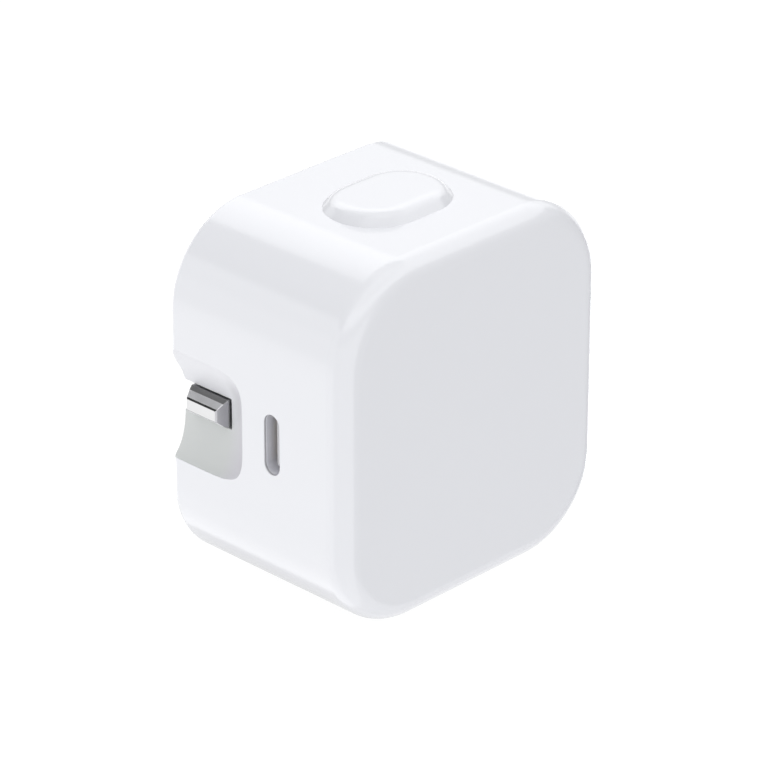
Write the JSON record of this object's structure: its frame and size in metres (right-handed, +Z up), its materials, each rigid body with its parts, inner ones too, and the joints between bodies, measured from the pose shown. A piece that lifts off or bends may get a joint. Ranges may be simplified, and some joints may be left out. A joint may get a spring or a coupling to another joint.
{
  "type": "usb-c wall power adapter",
  "caption": "Glossy white rounded-block USB-C power adapter with moulded side grips, a finger notch and a folding three-pin mains plug shown folded away.",
  "frame": {"origin": "centre of the bounding box in x and y, at the foot of the lower grip in z", "axes": "+X out of the plain front face, away from the wall; -X out of the plug face; -Y out of the face with the USB-C socket; +Z up, out of the face with the upper grip"},
  "size_m": [0.031, 0.0476, 0.053],
  "materials": {
    "white_gloss": "glossy moulded white polycarbonate",
    "grey_plastic": "moulded acetal",
    "socket_plastic": "moulded light grey liquid crystal polymer",
    "black_plastic": "moulded black nylon",
    "pin_metal": "bright nickel plated brass",
    "steel": "drawn and stamped steel",
    "spring_bronze": "phosphor bronze strip",
    "gold_plate": "gold plated contacts",
    "board_green": "fibreglass board with solder mask",
    "ferrite": "sintered ferrite",
    "winding_tape": "taped copper winding",
    "copper_wire": "enamelled copper wire",
    "capacitor_sleeve": "shrink sleeve over an aluminium can",
    "capacitor_blue": "dipped ceramic",
    "chip_black": "moulded epoxy package",
    "aluminium": "plain aluminium",
    "thermal_grey": "silicone thermal pad",
    "insulation_film": "polyimide film"
  },
  "bodies": {
    "body": {"housing": "white_gloss", "plug_face_plate": "white_gloss", "hinge_cradle": "grey_plastic", "usb_tongue": "socket_plastic", "transformer_bobbin": "black_plastic", "usb_shell": "steel", "cradle_screw_1": "steel", "cradle_screw_2": "steel", "cradle_screw_3": "steel", "cradle_screw_4": "steel", "detent_spring": "spring_bronze", "live_contact": "spring_bronze", "neutral_contact": "spring_bronze", "usb_contacts_front": "gold_plate", "usb_contacts_rear": "gold_plate", "main_board": "board_green", "transformer_core_upper": "ferrite", "transformer_core_lower": "ferrite", "choke_core": "ferrite", "transformer_winding": "winding_tape", "choke_winding_inner": "copper_wire", "choke_winding_outer": "copper_wire", "bulk_capacitor_upper": "capacitor_sleeve", "bulk_capacitor_lower": "capacitor_sleeve", "output_capacitor": "aluminium", "heat_spreader": "aluminium", "y_capacitor": "capacitor_blue", "fuse": "chip_black", "bridge_rectifier": "chip_black", "primary_controller": "chip_black", "rectifier_controller": "chip_black", "port_controller": "chip_black", "port_switch": "chip_black", "optocoupler": "chip_black", "thermal_pad": "thermal_grey", "insulation_sheet": "insulation_film"},
    "earth_arm": {"earth_pin": "pin_metal", "earth_carrier": "black_plastic", "earth_shaft": "steel", "earth_pinion_upper": "grey_plastic", "earth_pinion_lower": "grey_plastic"},
    "live_arm": {"live_pin": "pin_metal", "live_sleeve": "black_plastic", "live_carrier": "black_plastic"},
    "neutral_arm": {"neutral_pin": "pin_metal", "neutral_sleeve": "black_plastic", "neutral_carrier": "black_plastic"},
    "sync": {"sync_slide": "grey_plastic"}
  },
  "joints": [
    {"name": "plug_fold", "type": "hinge", "parent": "body", "child": "earth_arm", "pos_m": [-0.00775, 0.00723, 0.0265], "axis": [0, 0, -1], "range_deg": [0, 90]},
    {"name": "live_fold", "type": "hinge", "parent": "body", "child": "live_arm", "pos_m": [-0.0119, -0.0117, 0.01539], "axis": [0, 0, 1], "range_deg": [0, 90]},
    {"name": "neutral_fold", "type": "hinge", "parent": "body", "child": "neutral_arm", "pos_m": [-0.0119, -0.0117, 0.03761], "axis": [0, 0, 1], "range_deg": [0, 90]},
    {"name": "sync_travel", "type": "slide", "parent": "body", "child": "sync", "axis": [0, 1, 0], "range_m": [0, 0.00283]}
  ],
  "couplings": [
    {"joint": "live_fold", "follows": "plug_fold", "ratio": 1},
    {"joint": "neutral_fold", "follows": "plug_fold", "ratio": 1},
    {"joint": "sync_travel", "follows": "plug_fold", "m_per_rad": 0.0018}
  ]
}
